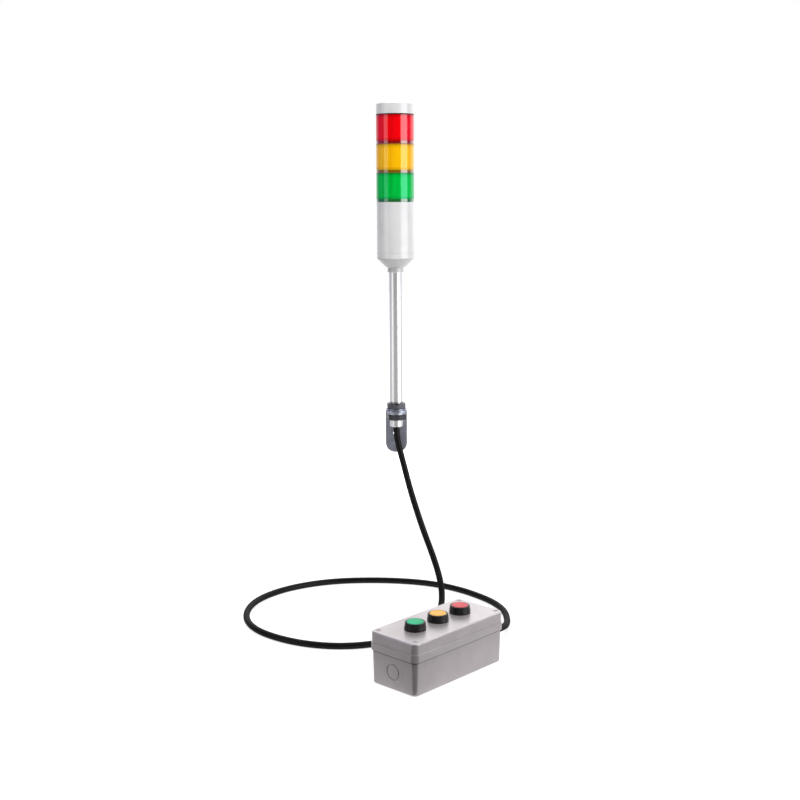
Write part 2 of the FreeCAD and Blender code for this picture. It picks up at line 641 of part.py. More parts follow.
def gland_locknut():
    bottom = -BOX_WALL - LOCKNUT_SEAT - LOCKNUT_T
    return hexagon(LOCKNUT_FLATS, LOCKNUT_T, bottom).cut(disc(GLAND_THREAD_R + PRESS_GAP, LOCKNUT_T, bottom))


# ---- push-buttons, made about Z with the lid's upper face at 0 ---------------------------------------------
def button_places():
    half = (len(BUTTONS) - 1) / 2
    return [(i - half) * BUTTON_PITCH for i in range(len(BUTTONS))]


def button_seal():
    return ring(BEZEL_FOOT_R, BARREL_R + BARREL_FIT, BUTTON_SEAL_T, 0)


def bezel():
    """The black head ring and its threaded barrel, in one piece, open down the middle."""
    low, foot_top, rim = BUTTON_SEAL_T, BUTTON_SEAL_T + BEZEL_FOOT_T, BEZEL_HEIGHT
    cup_r = CAP_R + CAP_FIT
    cup_floor = button_cap_bottom - BUTTON_TRAVEL - CAP_FIT
    guide_r = PLUNGER_R + PLUNGER_FIT
    return turned([(guide_r, -BARREL_LENGTH), (BARREL_R, -BARREL_LENGTH), (BARREL_R, low),
                   (BEZEL_FOOT_R, low), (BEZEL_FOOT_R, foot_top), (BEZEL_RIM_R + BEZEL_EDGE, foot_top),
                   (BEZEL_RIM_R, rim - BEZEL_EDGE), (BEZEL_RIM_R - BEZEL_EDGE, rim),
                   (cup_r, rim), (cup_r, cup_floor), (BARREL_BORE_R, cup_floor),
                   (BARREL_BORE_R, spring_seat), (guide_r, spring_seat)])


def button_cap():
    """The coloured push surface, a little proud of the rim."""
    top = BEZEL_HEIGHT + CAP_PROUD
    e = BUTTON_EDGE_R
    turn = e * (1 - math.sqrt(0.5))
    return turned([(0, button_cap_bottom), (CAP_R, button_cap_bottom), (CAP_R, top - e),
                   ((CAP_R - turn, top - turn), (CAP_R - e, top)), (0, top)])


def plunger():
    """The stem under the cap: it runs in the barrel's floor, pushes the contacts and holds a clip."""
    foot = -BARREL_LENGTH - PLUNGER_TIP_L
    groove_top = -BARREL_LENGTH - CLIP_GAP
    groove_bottom = groove_top - CLIP_T
    neck_r = PLUNGER_R - CLIP_BITE
    lead_in = 0.8
    return turned([(0, foot), (PLUNGER_R - lead_in, foot), (PLUNGER_R, foot + lead_in),
                   (PLUNGER_R, groove_bottom), (neck_r, groove_bottom), (neck_r, groove_top),
                   (PLUNGER_R, groove_top), (PLUNGER_R, button_cap_bottom), (0, button_cap_bottom)])


def plunger_clip():
    """The open snap ring in the plunger's groove, that stops it under the barrel."""
    bottom = -BARREL_LENGTH - CLIP_GAP - CLIP_T
    neck_r = PLUNGER_R - CLIP_BITE
    whole = ring(CLIP_R, neck_r, CLIP_T, bottom)
    return whole.cut(Part.makeBox(CLIP_R, 1.2 * neck_r, CLIP_T, Vector(0, -0.6 * neck_r, bottom)))


def return_spring():
    """A coil of wire from the barrel's floor up to the cap's underside, drawn with flat sides."""
    rise = button_cap_bottom - spring_seat - 2 * SPRING_WIRE_R
    steps = SPRING_TURNS * SPRING_STEPS
    coil = []
    for i in range(steps + 1):
        angle = 2 * math.pi * i / SPRING_STEPS
        coil.append(Vector(SPRING_COIL_R * math.cos(angle), SPRING_COIL_R * math.sin(angle),
                           spring_seat + SPRING_WIRE_R + rise * i / steps))
    section = [coil[0] + Vector(x, 0, z) for x, z in on_circle(SPRING_WIRE_R, 6)]
    wire = Part.makePolygon(coil)
    return wire.makePipeShell([Part.makePolygon(section + section[:1])], True, True, 1)


def contact_block():
    """The switch under the barrel: a moulded block with a well for the plunger and a step at each end."""
    length, width, height = CONTACT_BLOCK
    top = -BARREL_LENGTH
    well_depth = BUTTON_TRAVEL + PLUNGER_TIP_L + CONTACT_FIT
    block = Part.makeBox(length, width, height, Vector(-length / 2, -width / 2, top - height))
    step_depth = (length - 2 * BARREL_R) / 2
    for x in (-length / 2, length / 2 - step_depth):
        step_at = Vector(x, -width / 2, top - height / 3)
        block = block.cut(Part.makeBox(step_depth, width, height / 3, step_at))
    return block.cut(disc(CLIP_R + CONTACT_FIT, well_depth, top - well_depth))


def ring_nut():
    """The round plastic nut under the lid, with grip notches."""
    top = -BOX_WALL
    nut = ring(RING_NUT_R, BARREL_R + PRESS_GAP, RING_NUT_T, top - RING_NUT_T)
    for x, y in on_circle(RING_NUT_R, RING_NUT_NOTCHES):
        corner = Vector(x - RING_NUT_NOTCH / 2, y - RING_NUT_NOTCH / 2, top - RING_NUT_T)
        nut = nut.cut(Part.makeBox(RING_NUT_NOTCH, RING_NUT_NOTCH, RING_NUT_T, corner))
    return nut


# ---- cord --------------------------------------------------------------------------------------------------
def in_box(x, y, z):
    """A point of the box's own frame, placed in the object's."""
    yaw = math.radians(BOX_YAW)
    return Vector(BOX_CENTRE[0] + x * math.cos(yaw) - y * math.sin(yaw),
                  BOX_CENTRE[1] + x * math.sin(yaw) + y * math.cos(yaw), floor + z)


def cord_route():
    """From inside the pole's grommet, down to the floor, round in one open loop, and into the box's gland."""
    lying = floor + cord_r
    axis_y = -POLE_OUT
    start = [(0, axis_y, pole_bottom + CORD_IN_POLE), (0, axis_y, pole_bottom - CORD_UNDER_POLE)]
    hanging = [(9, -33, -35), (21.5, -52, -82), (39.5, -73, -136), (60, -99, -186), (69, -120, -219),
               (67.5, -146, -241)]
    loop = [(56, -179), (39, -220), (8, -260), (-34, -285), (-82, -293), (-130, -282), (-172, -257),
            (-205, -224), (-224, -182), (-228, -134), (-217, -88), (-188, -46), (-147, -15), (-99, 3),
            (-47, 7.5), (6, 3), (55, -11.5), (96, -39.5), (128, -75), (151, -110), (163, -148)]
    landing = [(163.5, -186, lying + 0.5), (159, -223, lying + 6)]
    mouth = in_box(BOX_LENGTH / 2 + CORD_TO_BOX, 0, ENTRY_HEIGHT)
    end = in_box(BOX_LENGTH / 2 + CORD_IN_GLAND, 0, ENTRY_HEIGHT)
    points = [Vector(*p) for p in start + hanging]
    points += [Vector(x, y, lying) for x, y in loop]
    points += [Vector(*p) for p in landing]
    return points + [mouth, end]


def cord():
    """A round tube along the route: straight runs joined by the largest arcs that they leave room for."""
    points = cord_route()
    edges = []
    here = points[0]
    tightest = None
    for before, corner, after in zip(points, points[1:], points[2:]):
        back, ahead = before - corner, after - corner
        take = 0.45 * min(back.Length, ahead.Length)
        half_turn = (math.pi - back.getAngle(ahead)) / 2
        radius = take / math.tan(half_turn)
        tightest = radius if tightest is None else min(tightest, radius)
        back.normalize()
        ahead.normalize()
        enter, leave = corner + back * take, corner + ahead * take
        inward = back + ahead
        inward.normalize()
        bulge = corner + inward * (radius / math.cos(half_turn) - radius)
        edges.append(Part.LineSegment(here, enter).toShape())
        edges.append(Part.Arc(enter, bulge, leave).toShape())
        here = leave
    edges.append(Part.LineSegment(here, points[-1]).toShape())
    path = Part.Wire(edges)
    section = Part.Wire(Part.Circle(points[0], points[1] - points[0], cord_r).toShape())
    tube = path.makePipeShell([section], True, False)
    share = tube.Volume / (math.pi * cord_r ** 2 * path.Length)
    print("cord: length %.0f mm, tightest arc %.0f mm, volume share %.4f" % (path.Length, tightest, share))
    return tube


# ---- everything in its place -------------------------------------------------------------------------------
def save(name, shapes):
    solids = []
    for shape in shapes if isinstance(shapes, list) else [shapes]:
        solids += shape.Solids
    whole = solids[0] if len(solids) == 1 else Part.makeCompound(solids)
    if not whole.isValid():
        print("not valid:", name)
    whole.exportStep(os.path.join("parts", name + ".step"))


def on_pole(shape):
    return shape.translate(head_axis)


def in_box_frame(shape):
    placed = shape.copy()
    placed.rotate(Vector(0, 0, 0), UP, BOX_YAW)
    return placed.translate(Vector(BOX_CENTRE[0], BOX_CENTRE[1], floor))


def main():
    os.makedirs("parts", exist_ok=True)
    save("bracket", bracket())
    save("pole", on_pole(pole()))
    save("upper_nut", on_pole(pole_nut(upper_nut_bottom, UPPER_NUT_TURN)))
    save("lower_nut", on_pole(pole_nut(lower_nut_bottom, LOWER_NUT_TURN)))
    save("flat_washer", on_pole(flat_washer()))
    save("lock_washer", on_pole(lock_washer()))
    save("lower_holder", on_pole(lower_holder()))
    save("pole_grub_screw", on_pole(pole_grub_screw()))
    save("body_shell", on_pole(body_shell()))
    save("lens_seals", [on_pole(s) for s in seals()])
    for colour, bottom in zip(TIERS, tier_bottoms):
        save(colour + "_lens", on_pole(lens(bottom)))
        save(colour + "_led_board", on_pole(led_board(bottom)))
        save(colour + "_diffuser", on_pole(diffuser(bottom)))
    save("tie_rods", [on_pole(s) for s in tie_rods()])
    save("clamp_plate", on_pole(clamp_plate()))
    save("tie_rod_nuts", [on_pole(s) for s in rod_nuts()])
    save("top_cap", on_pole(top_cap()))
    save("control_board", on_pole(control_board()))
    save("terminal_block", on_pole(terminal_block()))
    save("core_wires", [on_pole(s) for s in core_wires()])
    save("cord_grommet", on_pole(cord_grommet()))
    save("cord", cord())
    save("box_base", in_box_frame(box_base()))
    save("box_lid", in_box_frame(box_lid()))
    save("lid_gasket", in_box_frame(lid_gasket()))
    save("lid_screws", [in_box_frame(s) for s in lid_screws()])
    for name, shape in (("gland_body", gland_body()), ("gland_cap_nut", gland_cap_nut()),
                        ("gland_seal", gland_seal()), ("gland_locknut", gland_locknut())):
        save(name, in_box_frame(gland_frame(shape)))

    def on_lid(shape, x):
        return in_box_frame(shape.translate(Vector(x, 0, box_height)))
    for colour, x in zip(BUTTONS, button_places()):
        save(colour + "_button_cap", on_lid(button_cap(), x))
        save(colour + "_plunger", on_lid(plunger(), x))
        save(colour + "_plunger_clip", on_lid(plunger_clip(), x))
        save(colour + "_return_spring", on_lid(return_spring(), x))
        save(colour + "_bezel", on_lid(bezel(), x))
        save(colour + "_contact_block", on_lid(contact_block(), x))
    save("button_seals", [on_lid(button_seal(), x) for x in button_places()])
    save("button_ring_nuts", [on_lid(ring_nut(), x) for x in button_places()])


main()
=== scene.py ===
# %% [markdown]
# # A stack light, its pole, its cord and its push-button box
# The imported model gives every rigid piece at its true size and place. This lesson dresses it: it
# sets up a studio, mixes the finishes, and models again, with small edges and fine detail, each
# piece that is seen from close by. Loading the frame comes first, since all places are read there.

# %% Load the frame
import json
import math

import bmesh
import bpy
from mathutils import Matrix, Vector


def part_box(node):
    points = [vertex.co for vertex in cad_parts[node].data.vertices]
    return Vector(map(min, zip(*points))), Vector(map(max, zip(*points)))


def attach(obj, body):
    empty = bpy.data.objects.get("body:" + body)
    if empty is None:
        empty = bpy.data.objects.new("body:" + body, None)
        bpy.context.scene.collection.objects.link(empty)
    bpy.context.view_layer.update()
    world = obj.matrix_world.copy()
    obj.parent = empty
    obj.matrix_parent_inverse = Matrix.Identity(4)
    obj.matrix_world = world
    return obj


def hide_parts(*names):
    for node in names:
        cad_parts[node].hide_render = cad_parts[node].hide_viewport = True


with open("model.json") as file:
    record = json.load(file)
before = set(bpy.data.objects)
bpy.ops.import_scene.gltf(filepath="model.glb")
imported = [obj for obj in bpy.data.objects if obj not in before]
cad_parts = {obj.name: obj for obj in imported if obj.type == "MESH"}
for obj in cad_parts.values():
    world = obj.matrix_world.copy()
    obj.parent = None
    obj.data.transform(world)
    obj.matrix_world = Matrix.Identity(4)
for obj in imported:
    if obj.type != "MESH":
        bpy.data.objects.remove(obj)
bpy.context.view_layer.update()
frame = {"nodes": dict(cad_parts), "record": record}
print("nodes in the frame:", len(frame["nodes"]))

# %% [markdown]
# ## Places that the frame gives
# The head and the pole are round about one upright axis, and the box has its own axes, turned
# about Z. Places could be typed in, but then they would stay behind when the model changes. So
# they are read from the nodes' own boxes. Only the box's length and width are typed: it stands
# at an angle, and its own box, which follows X and Y, doesn't show them.

# %% Axes and levels
MM = 0.001
BOX_LENGTH, BOX_WIDTH = 176.5 * MM, 80.5 * MM  # of the lid


def middle(node):
    low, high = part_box(node)
    return (Vector(low) + Vector(high)) / 2


def size_of(node):
    low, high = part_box(node)
    return Vector(high) - Vector(low)


def bottom(node):
    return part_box(node)[0][2]


pole_x, pole_y = middle("pole").x, middle("pole").y
floor_z = bottom("box_base")
pole_foot = Vector((pole_x, pole_y, floor_z))
head_r = size_of("top_cap").x / 2
button_row = middle("red_button_cap") - middle("green_button_cap")
box_yaw = math.atan2(button_row.y, button_row.x)
box_middle = Vector((*middle("box_lid").xy, floor_z))
along = Vector((math.cos(box_yaw), math.sin(box_yaw), 0))
across = Vector((-along.y, along.x, 0))
print("head radius %.4f, box turned %.1f degrees" % (head_r, math.degrees(box_yaw)))

# %% [markdown]
# ## The camera
# A short lens close by would make the pole lean and the box look too large. A long lens from
# nearly two metres, looking slightly down, keeps it nearly upright and the pieces in proportion.

# %% Camera
CAMERA_FROM_POLE = Vector((5.9, -1906.3, 625.8)) * MM  # across, to the front, above the floor
CAMERA_DOWN = 9.47  # degrees
CAMERA_ROLL = -0.25  # degrees
LENS = 55.36  # millimetres
SENSOR = 36  # millimetres

camera = bpy.data.objects.new("camera", bpy.data.cameras.new("camera"))
bpy.context.collection.objects.link(camera)
camera.data.lens = LENS
camera.data.sensor_width = SENSOR
camera.location = pole_foot + CAMERA_FROM_POLE
pitch = Matrix.Rotation(math.radians(90 - CAMERA_DOWN), 4, "X")
roll = Matrix.Rotation(math.radians(CAMERA_ROLL), 4, "Z")
camera.rotation_euler = (pitch @ roll).to_euler()
bpy.context.scene.camera = camera
bpy.context.scene.view_settings.view_transform = "Standard"
print("camera %.2f m in front of the pole" % -CAMERA_FROM_POLE.y)

# %% [markdown]
# ## The lamps
# Round glossy pieces show the lamps themselves. A small lamp would show as a dot, so two upright
# strips, left and right of the camera, draw the two bright stripes on the head. A wide lamp high
# in front lights the tops and fills the fronts, and two weak rims light the sides from behind.
# These last three are hidden from glossy rays: they light the colours, and add no stripe or glare.

# %% Lamps
STRIP_DISTANCE = 1.5
STRIP_LEVEL = 0.50  # the strips' middle, above the fixing hole
STRIP_TALL = 1.5
# azimuth, width, watts
STRIPS = {"right_strip": (56.5, 1.18, 12.5), "left_strip": (-57, 0.68, 2.4)}
RIMS = {"right_rim": (120, 0.40, 4.0), "left_rim": (-128, 0.40, 1.5)}
HIGH_LAMP_LEVEL = 2.40
HIGH_LAMP_FORWARD = 0.80
HIGH_LAMP_AIM = 0.2  # in front of the pole
HIGH_LAMP_SIZE = 2.2
HIGH_LAMP_WATTS = 86


def lamp(name, width, tall, watts, place, target):
    """A rectangle of light that the camera doesn't see."""
    data = bpy.data.lights.new(name, "AREA")
    data.shape = "RECTANGLE"
    data.size, data.size_y = width, tall
    data.energy = watts
    obj = bpy.data.objects.new(name, data)
    bpy.context.collection.objects.link(obj)
    obj.location = place
    obj.rotation_euler = (Vector(target) - obj.location).to_track_quat("-Z", "Y").to_euler()
    obj.visible_camera = False
    return obj


def strip(name, azimuth, width, watts):
    """An upright softbox round the pole; its azimuth is counted from the front to the right."""
    angle = math.radians(azimuth)
    place = Vector((math.sin(angle), -math.cos(angle), 0)) * STRIP_DISTANCE
    level = Vector((pole_x, pole_y, STRIP_LEVEL))
    return lamp(name, width, STRIP_TALL, watts, level + place, level)


for name, values in STRIPS.items():
    strip(name, *values)
for name, values in RIMS.items():
    strip(name, *values).visible_glossy = False
high_lamp = lamp("high_lamp", HIGH_LAMP_SIZE, HIGH_LAMP_SIZE, HIGH_LAMP_WATTS,
                 (pole_x, pole_y - HIGH_LAMP_FORWARD, HIGH_LAMP_LEVEL),
                 (pole_x, pole_y - HIGH_LAMP_AIM, 0))
high_lamp.visible_glossy = False
print("lamps:", ", ".join(light.name for light in bpy.data.lights))

# %% [markdown]
# ## Short words for shader nodes
# A finish is a tree of shader nodes. Written out node by node, it would fill a page. A few
# functions that each add one node and give back its output let a finish read like a formula.

# %% Links and numbers
def link_all(tree, *pairs):
    for a, b in pairs:
        tree.links.new(a, b)


def feed(tree, slot, value):
    """Gives an input either a socket to read or a plain value."""
    if isinstance(value, bpy.types.NodeSocket):
        tree.links.new(value, slot)
    else:
        slot.default_value = value


def set_values(node, values):
    """Sets inputs of a node, by their names."""
    for name, value in values.items():
        node.inputs[name].default_value = value


def maths(tree, operation, *values):
    """A Math node; its inputs are sockets or plain numbers."""
    node = tree.nodes.new("ShaderNodeMath")
    node.operation = operation
    for slot, value in zip(node.inputs, values):
        feed(tree, slot, value)
    return node.outputs[0]


def rising(tree, value, low, high):
    """0 below low, 1 above high, and straight between."""
    node = tree.nodes.new("ShaderNodeMapRange")
    set_values(node, {"From Min": low, "From Max": high})
    tree.links.new(value, node.inputs["Value"])
    return node.outputs["Result"]


def split_xyz(tree, vector):
    node = tree.nodes.new("ShaderNodeSeparateXYZ")
    tree.links.new(vector, node.inputs[0])
    return node.outputs


print("words for numbers: link_all, feed, set_values, maths, rising, split_xyz")

# %% [markdown]
# ## Words for colours
# Two more nodes do most of the mixing: a colour ramp, which turns a number into a colour, and a
# Mix node, which lays one colour over another. One function each keeps their many sockets in
# one place.

# %% Ramp and blend
def ramp(tree, factor, *stops):
    """A colour ramp with (position, colour) stops; a colour is a grey level or three numbers."""
    node = tree.nodes.new("ShaderNodeValToRGB")
    marks = node.color_ramp.elements
    while len(marks) < len(stops):
        marks.new(0.5)
    for mark, (position, colour) in zip(marks, stops):
        mark.position = position
        mark.color = (*colour, 1) if hasattr(colour, "__len__") else (colour, colour, colour, 1)
    tree.links.new(factor, node.inputs[0])
    return node.outputs[0]


def blend(tree, factor, first, second, how="MIX"):
    """A Mix node for colours; the inputs are sockets, or plain colours and numbers."""
    node = tree.nodes.new("ShaderNodeMix")
    node.data_type = "RGBA"
    node.blend_type = how
    for slot, value in zip(("Factor", "A", "B"), (factor, first, second)):
        feed(tree, node.inputs[slot], value)
    return node.outputs["Result"]


print("words for colours: ramp, blend")

# %% [markdown]
# ## The room that glossy pieces see
# Metal, lacquer and clear plastic look like what stands round them. A plain white room would make
# them flat, and a modelled room would be heavy, so the room is a list of grey levels round the
# compass. There are four lists: the room above the horizon, the room far off, the floor before
# the pole, and the floor about the box, whose near corner looks into a dark wedge.

# %% Levels of the room
BLUISH = (0.07, 0.08, 0.24)
HIGH_ROOM = (
    (-165, 1.35), (-144, 0.95), (-112, BLUISH), (-90, BLUISH), (-40, 0.01), (30, 0.01),
    (98, BLUISH), (120, 1.15), (165, 1.4))
FAR_ROOM = (
    (-180, 1.15), (-140, 0.85), (-88, 0.78), (-72, 0.90), (-42, 0.90), (-32, 0.78), (24, 0.78),
    (35, 0.96), (82, 0.96), (90, 0.90), (140, 0.95), (180, 1.15))
LOW_ROOM = (
    (-180, 1.10), (-140, 0.72), (-88, 0.60), (-72, 0.80), (-42, 0.80), (-34, 0.54), (27, 0.54),
    (35, 1.0), (82, 1.0), (90, 0.74), (140, 0.85), (180, 1.10))
BOX_ROOM = (
    (-180, 1.15), (-100, 0.31), (-76, 0.30), (-64, 0.0), (64, 0.0), (76, 0.39), (100, 0.42),
    (180, 1.15))


def room_light(tree, vector, levels):
    """Levels all round, from (azimuth in degrees, level) pairs that start behind, by the left."""
    x, y, _ = split_xyz(tree, vector)
    azimuth = maths(tree, "ARCTAN2", x, maths(tree, "MULTIPLY", y, -1.0))
    around = maths(tree, "ADD", maths(tree, "DIVIDE", azimuth, 2 * math.pi), 0.5)
    return ramp(tree, around, *((angle / 360 + 0.5, level) for angle, level in levels))


print("levels of the room:", [len(room) for room in (HIGH_ROOM, FAR_ROOM, LOW_ROOM, BOX_ROOM)])

# %% [markdown]
# ## The world
# The camera has to see white, glossy pieces have to see the room, and all other light should be
# faint, so that shadows stay. Three worlds would be needed, but there is only one, so one world
# tells the kinds of ray apart with a Light Path node.

# %% World
AMBIENT = 0.17
HORIZON = (-0.085, -0.010)  # the far room turns into the high one between these upward slopes


def seen_straight(tree, path):
    """1 for a ray from the camera, or one that has come through glass."""
    return maths(tree, "MAXIMUM", path.outputs["Is Camera Ray"],
                 path.outputs["Is Transmission Ray"])


world = bpy.data.worlds.new("studio")
bpy.context.scene.world = world
world.use_nodes = True
tree = world.node_tree
tree.nodes.clear()
direction = tree.nodes.new("ShaderNodeTexCoord").outputs["Generated"]
above = rising(tree, split_xyz(tree, direction)["Z"], *HORIZON)
room = blend(tree, above, room_light(tree, direction, FAR_ROOM),
             room_light(tree, direction, HIGH_ROOM))
path = tree.nodes.new("ShaderNodeLightPath")
light = blend(tree, path.outputs["Is Glossy Ray"], (AMBIENT, AMBIENT, AMBIENT, 1), room)
background = tree.nodes.new("ShaderNodeBackground")
world_out = tree.nodes.new("ShaderNodeOutputWorld")
link_all(tree, (blend(tree, seen_straight(tree, path), light, (1, 1, 1, 1)),
                background.inputs["Color"]),
         (background.outputs[0], world_out.inputs["Surface"]))
print("nodes in the world:", len(tree.nodes))

# %% [markdown]
# ## From a bmesh to a piece
# Every new piece ends the same way: its bmesh is written to a mesh, which a new object carries.
# The object could be moved to its place, but it stays at the origin and the place stays in the
# mesh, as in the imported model, so that a pattern on Object coordinates stays put.

# %% A piece and a material
SMOOTH_UP_TO = 30  # degrees


def as_piece(bm, name, material):
    """The object that carries a finished bmesh."""
    mesh = bpy.data.meshes.new(name)
    bm.to_mesh(mesh)
    bm.free()
    mesh.materials.append(material)
    piece = bpy.data.objects.new(name, mesh)
    bpy.context.collection.objects.link(piece)
    return piece


def shaded(piece):
    """Smooth shading that stops at edges."""
    piece.data.shade_smooth()
    piece.data.set_sharp_from_angle(angle=math.radians(SMOOTH_UP_TO))
    return piece


def part_material(name):
    """A new material: its node tree, its shader and the object's own coordinates."""
    material = bpy.data.materials.new(name)
    material.use_nodes = True
    tree = material.node_tree
    shader = tree.nodes["Principled BSDF"]
    place = tree.nodes.new("ShaderNodeTexCoord").outputs["Object"]
    print("finish:", name)
    return material, tree, shader, place


print("pieces are smooth up to %d degrees" % SMOOTH_UP_TO)

# %% [markdown]
# ## Where the floor changes
# The floor looks different near the pole, near the box and far off. Rings of geometry could carry
# that, but a distance worked out in the shader changes softly. Both distances start at a place on
# the object: the pole's foot, and the corner of the box that is nearest to the camera.

# %% Distances on the floor
FLOOR_ALBEDO = 0.42

floor_material, tree, shader, place = part_material("pale_floor")
set_values(shader, {"Base Color": (FLOOR_ALBEDO, FLOOR_ALBEDO, FLOOR_ALBEDO, 1),
                    "Roughness": 0.9, "Specular IOR Level": 0.0})


def vector_maths(tree, operation, vector):
    node = tree.nodes.new("ShaderNodeVectorMath")
    node.operation = operation
    tree.links.new(vector, node.inputs[0])
    return node


def away_from(tree, place, centre):
    node = vector_maths(tree, "SUBTRACT", place)
    node.inputs[1].default_value = centre
    return node.outputs[0]


near_corner = box_middle - along * BOX_LENGTH / 2 - across * BOX_WIDTH / 2
from_box = away_from(tree, place, near_corner)
from_pole = away_from(tree, place, pole_foot)
distance = vector_maths(tree, "LENGTH", from_pole).outputs["Value"]
print("near corner of the box %.3f m from the pole" % (near_corner - pole_foot).length)

# %% [markdown]
# ## The floor
# A pale sheet that keeps a soft shadow under the object. A floor bright enough to look white
# would light the object from below, so it is a mid grey that glows for the camera alone, and more
# so further out, where it meets the white background with no horizon. Glossy rays find the
# room's levels on it.

# %% Floor
FLOOR_HALF = 6.0
FLOOR_GAP = 0.0002  # under the box's foot
FLOOR_GLOW = 0.72
GLOW_RISES = (0.45, 0.80)  # metres from the pole, as in the next two lines
BOX_ROOM_ENDS = (0.75, 1.0)
LOW_ROOM_ENDS = (1.6, 3.5)

path = tree.nodes.new("ShaderNodeLightPath")
white = maths(tree, "ADD", rising(tree, distance, *GLOW_RISES), FLOOR_GLOW)
near_room = blend(tree, rising(tree, distance, *BOX_ROOM_ENDS),
                  room_light(tree, from_box, BOX_ROOM), room_light(tree, from_pole, LOW_ROOM))
room = blend(tree, rising(tree, distance, *LOW_ROOM_ENDS), near_room,
             room_light(tree, from_pole, FAR_ROOM))
glow = tree.nodes.new("ShaderNodeEmission")
lit = tree.nodes.new("ShaderNodeAddShader")
room_glow = tree.nodes.new("ShaderNodeEmission")
mix = tree.nodes.new("ShaderNodeMixShader")
glow.inputs["Color"].default_value = (1, 1, 1, 1)
link_all(tree, (maths(tree, "MULTIPLY", seen_straight(tree, path), white),
                glow.inputs["Strength"]),
         (shader.outputs[0], lit.inputs[0]), (glow.outputs[0], lit.inputs[1]),
         (room, room_glow.inputs["Color"]), (path.outputs["Is Glossy Ray"], mix.inputs[0]),
         (lit.outputs[0], mix.inputs[1]), (room_glow.outputs[0], mix.inputs[2]),
         (mix.outputs[0], tree.nodes["Material Output"].inputs["Surface"]))

bm = bmesh.new()
bmesh.ops.create_grid(bm, x_segments=1, y_segments=1, size=FLOOR_HALF)
bmesh.ops.translate(bm, verts=bm.verts, vec=(pole_x, pole_y, floor_z - FLOOR_GAP))
floor = as_piece(bm, "floor", floor_material)
print("floor %.0f m wide, nodes in its finish: %d" % (2 * FLOOR_HALF, len(tree.nodes)))

# %% [markdown]
# ## Grain, drift and relief
# No moulded or plated surface is perfectly even. Image textures would need files, so the
# unevenness comes from noise. It lets a colour or a roughness drift between two values, and
# through a Bump node it tilts the light as a fine relief would, for which geometry is too coarse.

# %% Grain, drift and relief
def grain(tree, place, scale, stretch=(1, 1, 1), detail=3.0, roughness=0.5):
    """Noise of about 1/scale metres, longer along an axis whose stretch is under 1."""
    mapping = tree.nodes.new("ShaderNodeMapping")
    mapping.inputs["Scale"].default_value = stretch
    noise = tree.nodes.new("ShaderNodeTexNoise")
    set_values(noise, {"Scale": scale, "Detail": detail, "Roughness": roughness})
    link_all(tree, (place, mapping.inputs["Vector"]), (mapping.outputs[0], noise.inputs["Vector"]))
    return noise.outputs["Fac"]


def drift(tree, noise, first, second, edges=(0.3, 0.7)):
    """Goes from one shade or level to another while the noise rises from edge to edge."""
    return ramp(tree, noise, (edges[0], first), (edges[1], second))


def relief(tree, shader, height, depth):
    """Gives a shader a relief, of a depth in metres."""
    bump = tree.nodes.new("ShaderNodeBump")
    set_values(bump, {"Distance": depth, "Strength": 1.0})
    link_all(tree, (height, bump.inputs["Height"]), (bump.outputs[0], shader.inputs["Normal"]))


print("words for unevenness: grain, drift, relief")

# %% [markdown]
# ## Moulded plastic and paint
# A moulding has one colour in two near shades and the fine grain of its spark-eroded mould. Each
# could be mixed by hand, but they differ in numbers alone, so one recipe serves them all, and
# paint too: it takes a share of metal for the shimmer.

# %% Recipe for mouldings
CLOUD_SCALE = 45
SOFT_CLOUDS = (0.35, 0.65)
GRAIN_SWING = 0.05  # up and down in roughness
COAT_ROUGHNESS = 0.12


def moulded(name, dark, light, rough, grain_size, depth, coat=0.0, metal=0.0, gloss=0.5):
    """Moulded plastic: two near shades in soft clouds, and a fine spark-eroded grain."""
    material, tree, shader, place = part_material(name)
    clouds = grain(tree, place, CLOUD_SCALE, detail=4)
    fine = grain(tree, place, 1 / grain_size, detail=2)
    link_all(tree, (drift(tree, clouds, dark, light, SOFT_CLOUDS), shader.inputs["Base Color"]),
             (drift(tree, fine, rough - GRAIN_SWING, rough + GRAIN_SWING),
              shader.inputs["Roughness"]))
    relief(tree, shader, fine, depth)
    set_values(shader, {"Metallic": metal, "Specular IOR Level": gloss, "Coat Weight": coat,
                        "Coat Roughness": COAT_ROUGHNESS})
    return material


print("recipe: moulded")

# %% [markdown]
# ## Plastics, paint and rubber
# The head's housings are white plastic with a gloss, which a clear coat gives. The box is moulded
# too, under satin grey paint with a metal shimmer. Bezels and gland are black plastic, and the
# seals are dull, very dark rubber. Each could have a tree of nodes of its own, but the recipe with
# other numbers does as well: two shades, roughness, size of the grain and its depth in metres.

# %% Plastics, paint and rubber
white_plastic = moulded("white_housing_plastic", (0.71, 0.70, 0.71), (0.75, 0.74, 0.75),
                        rough=0.22, grain_size=0.0008, depth=0.000006, coat=1.0)
box_paint = moulded("grey_box_paint", (0.56, 0.515, 0.53), (0.60, 0.555, 0.57),
                    rough=0.33, grain_size=0.0007, depth=0.000005, metal=0.70)
bezel_plastic = moulded("black_bezel_plastic", 0.006, 0.010,
                        rough=0.28, grain_size=0.0006, depth=0.00002, gloss=0.4)
gland_plastic = moulded("black_gland_plastic", 0.010, 0.016,
                        rough=0.40, grain_size=0.0007, depth=0.00003, gloss=0.4)
grey_inner_plastic = moulded("grey_inner_plastic", 0.09, 0.12,
                             rough=0.5, grain_size=0.0008, depth=0.00003)
terminal_plastic = moulded("green_terminal_plastic", (0.03, 0.16, 0.07), (0.04, 0.20, 0.09),
                           rough=0.4, grain_size=0.0008, depth=0.00002)
frosted_plastic = moulded("frosted_sleeve_plastic", 0.78, 0.84,
                          rough=0.6, grain_size=0.0008, depth=0.00003)
board_lacquer = moulded("white_board_lacquer", (0.66, 0.70, 0.67), (0.72, 0.75, 0.72),
                        rough=0.3, grain_size=0.0012, depth=0.00002, coat=0.4)
